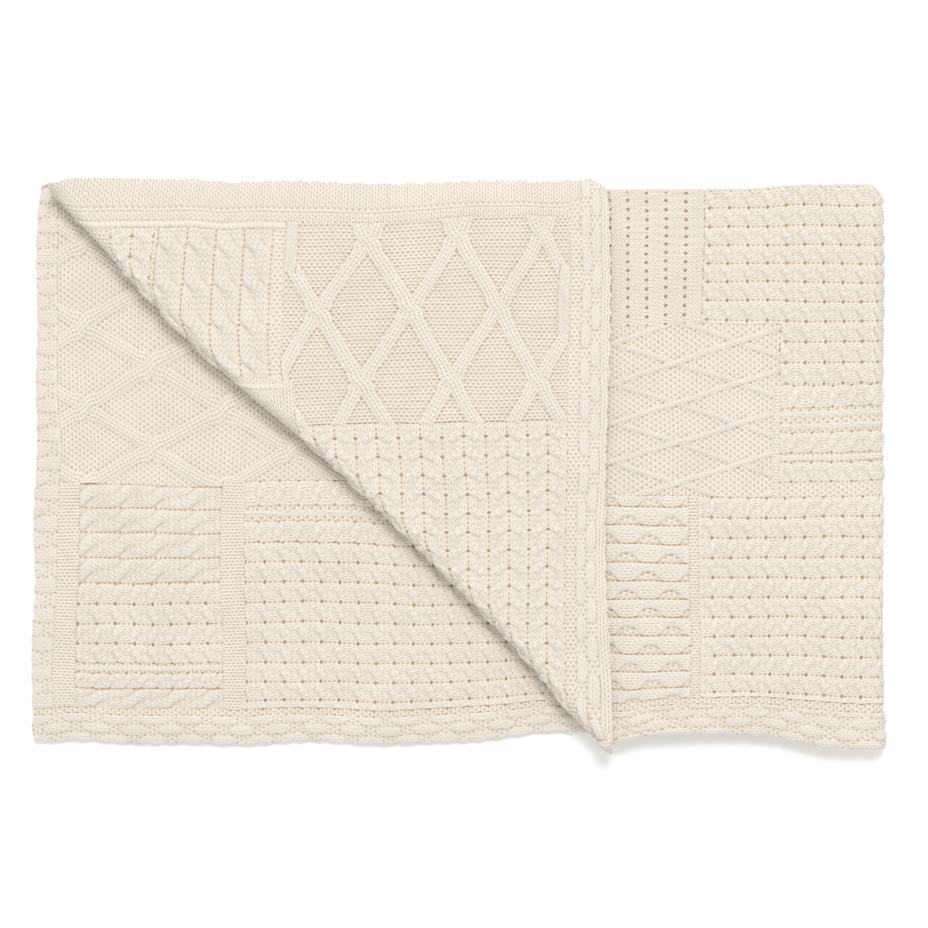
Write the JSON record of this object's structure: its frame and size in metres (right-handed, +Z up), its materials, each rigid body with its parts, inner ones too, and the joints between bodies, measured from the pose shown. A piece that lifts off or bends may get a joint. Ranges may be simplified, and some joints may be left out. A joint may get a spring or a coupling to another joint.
{
  "type": "folded throw blanket",
  "caption": "Cream cable-knit throw, folded in half twice and laid flat, with one corner of the upper half turned back along a diagonal.",
  "frame": {"origin": "on the surface that the throw lies on, under the middle of the folded stack", "axes": "+Z up; +X along the folded length, from the ends of the cloth to the spine fold; +Y towards the back fold"},
  "size_m": [0.762, 0.508, 0.0356],
  "materials": {
    "cream_knit": "matt cotton and wool yarn, cable knit"
  },
  "bodies": {
    "lower_half": {"bottom_sheet": "cream_knit", "bottom_end_border": "cream_knit", "bottom_front_border": "cream_knit", "lower_middle_sheet": "cream_knit", "lower_middle_end_border": "cream_knit", "lower_middle_front_border": "cream_knit", "lower_back_fold": "cream_knit", "spine_fold_outer": "cream_knit", "spine_fold_inner": "cream_knit"},
    "upper_half": {"upper_middle_sheet": "cream_knit", "upper_middle_front_border": "cream_knit", "top_sheet": "cream_knit", "top_front_border": "cream_knit", "upper_back_fold": "cream_knit", "corner_fold_inner": "cream_knit", "corner_fold_outer": "cream_knit"},
    "turned_corner": {"corner_under_sheet": "cream_knit", "corner_under_end_border": "cream_knit", "corner_under_front_border": "cream_knit", "corner_face_sheet": "cream_knit", "corner_face_end_border": "cream_knit", "corner_face_front_border": "cream_knit"}
  },
  "joints": [
    {"name": "spine_fold", "type": "hinge", "parent": "lower_half", "child": "upper_half", "pos_m": [0.3692, 0, 0.0118], "axis": [0, 1, 0], "range_deg": [0, 177], "deforming": ["spine_fold_outer", "spine_fold_inner"]},
    {"name": "corner_fold", "type": "hinge", "parent": "upper_half", "child": "turned_corner", "pos_m": [-0.04916, -0.04916, 0.0238], "axis": [0.7071, -0.7071, 0], "range_deg": [0, 180], "deforming": ["corner_fold_inner", "corner_fold_outer"]}
  ]
}
